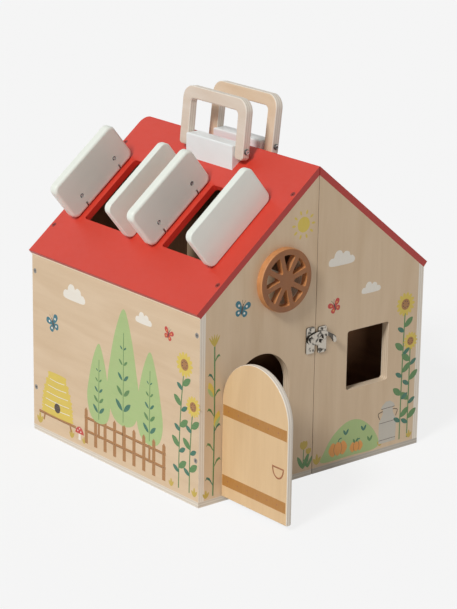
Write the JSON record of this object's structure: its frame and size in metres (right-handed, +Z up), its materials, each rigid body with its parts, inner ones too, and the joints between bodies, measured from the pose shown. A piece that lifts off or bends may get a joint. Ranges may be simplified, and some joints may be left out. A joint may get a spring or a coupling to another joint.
{
  "type": "wooden toy farm",
  "caption": "Toy barn carried like a case: hinged plywood halves with a red roof, hatch shutters, arched door, window, swing latch and carrying handles.",
  "frame": {"origin": "on the floor, at mid depth, on the split face of the left half", "axes": "+X to the right across the gables, +Y from the front gable to the back, +Z up"},
  "size_m": [0.3088, 0.387, 0.3791],
  "materials": {
    "birch_ply": "clear satin lacquer on birch plywood",
    "roof_red": "satin red paint on plywood",
    "white_lacquer": "satin white lacquer on wood",
    "handle_ply": "clear satin lacquer on plywood",
    "wheel_wood": "brown stained wood",
    "door_ply": "clear satin lacquer on pine faced plywood",
    "zinc_steel": "bright zinc plate",
    "screw_steel": "zinc plate"
  },
  "bodies": {
    "left_half": {"left_base": "birch_ply", "left_side_wall": "birch_ply", "left_front_gable": "birch_ply", "left_back_gable": "birch_ply", "left_roof": "roof_red", "loft_floor": "birch_ply", "loft_guard": "birch_ply", "wheel_rosette": "wheel_wood", "left_handle_block": "white_lacquer", "left_handle_screws": "zinc_steel", "left_case_screws": "screw_steel", "left_block_screws": "screw_steel", "left_latch_screws": "zinc_steel", "left_hinge_screws": "screw_steel", "left_hinge_leaves": "zinc_steel", "hinge_pins": "zinc_steel", "latch_pivot_plate": "zinc_steel", "latch_pivot_rivet": "zinc_steel", "shutter_hinge_lugs": "zinc_steel", "door_hinge_lugs": "zinc_steel"},
    "right_half": {"right_base": "birch_ply", "right_side_wall": "birch_ply", "right_front_gable": "birch_ply", "right_back_gable": "birch_ply", "right_roof": "roof_red", "right_handle_block": "white_lacquer", "right_handle_screws": "zinc_steel", "right_case_screws": "screw_steel", "right_block_screws": "screw_steel", "right_latch_screws": "zinc_steel", "right_hinge_screws": "screw_steel", "right_hinge_leaves": "zinc_steel", "latch_keeper_plate": "zinc_steel", "latch_keeper_stud": "zinc_steel"},
    "shutter_1": {"shutter_1": "white_lacquer", "shutter_1_eye_bolts": "zinc_steel", "shutter_1_hinge_pins": "zinc_steel", "shutter_1_barrel_nuts": "zinc_steel"},
    "shutter_2": {"shutter_2": "white_lacquer", "shutter_2_eye_bolts": "zinc_steel", "shutter_2_hinge_pins": "zinc_steel", "shutter_2_barrel_nuts": "zinc_steel"},
    "shutter_3": {"shutter_3": "white_lacquer", "shutter_3_eye_bolts": "zinc_steel", "shutter_3_hinge_pins": "zinc_steel", "shutter_3_barrel_nuts": "zinc_steel"},
    "shutter_4": {"shutter_4": "white_lacquer", "shutter_4_eye_bolts": "zinc_steel", "shutter_4_hinge_pins": "zinc_steel", "shutter_4_barrel_nuts": "zinc_steel"},
    "door": {"door": "door_ply", "door_eye_bolts": "zinc_steel", "door_hinge_pins": "zinc_steel", "door_barrel_nuts": "zinc_steel"},
    "left_handle": {"left_handle": "handle_ply"},
    "right_handle": {"right_handle": "handle_ply"},
    "latch_hook": {"latch_hook": "zinc_steel"}
  },
  "joints": [
    {"name": "case_hinge", "type": "hinge", "parent": "left_half", "child": "right_half", "pos_m": [0.0005, 0.1439, 0.15], "axis": [0, 0, 1], "range_deg": [0, 180]},
    {"name": "door_hinge", "type": "hinge", "parent": "left_half", "child": "door", "pos_m": [-0.1162, -0.1452, 0.06175], "axis": [0, 0, 1], "range_deg": [-4, 90]},
    {"name": "shutter_1_hinge", "type": "hinge", "parent": "left_half", "child": "shutter_1", "pos_m": [-0.07888, 0.1127, 0.26716], "axis": [0.7771, 0, 0.6293], "range_deg": [-2.5, 90]},
    {"name": "shutter_2_hinge", "type": "hinge", "parent": "left_half", "child": "shutter_2", "pos_m": [-0.07888, 0.0223, 0.26716], "axis": [-0.7771, 0, -0.6293], "range_deg": [-2.5, 90]},
    {"name": "shutter_3_hinge", "type": "hinge", "parent": "left_half", "child": "shutter_3", "pos_m": [-0.07888, -0.0188, 0.26716], "axis": [0.7771, 0, 0.6293], "range_deg": [-2.5, 90]},
    {"name": "shutter_4_hinge", "type": "hinge", "parent": "left_half", "child": "shutter_4", "pos_m": [-0.07888, -0.1092, 0.26716], "axis": [-0.7771, 0, -0.6293], "range_deg": [-2.5, 90]},
    {"name": "left_handle_pivot", "type": "hinge", "parent": "left_half", "child": "left_handle", "pos_m": [-0.019, 0, 0.32597], "axis": [0, 1, 0], "range_deg": [-85.5, 9.5]},
    {"name": "right_handle_pivot", "type": "hinge", "parent": "right_half", "child": "right_handle", "pos_m": [0.02, 0, 0.32597], "axis": [0, 1, 0], "range_deg": [-21.5, 129]},
    {"name": "latch_pivot", "type": "hinge", "parent": "left_half", "child": "latch_hook", "pos_m": [-0.007, -0.1437, 0.1479], "axis": [0, -1, 0], "range_deg": [-5.5, 100]}
  ]
}
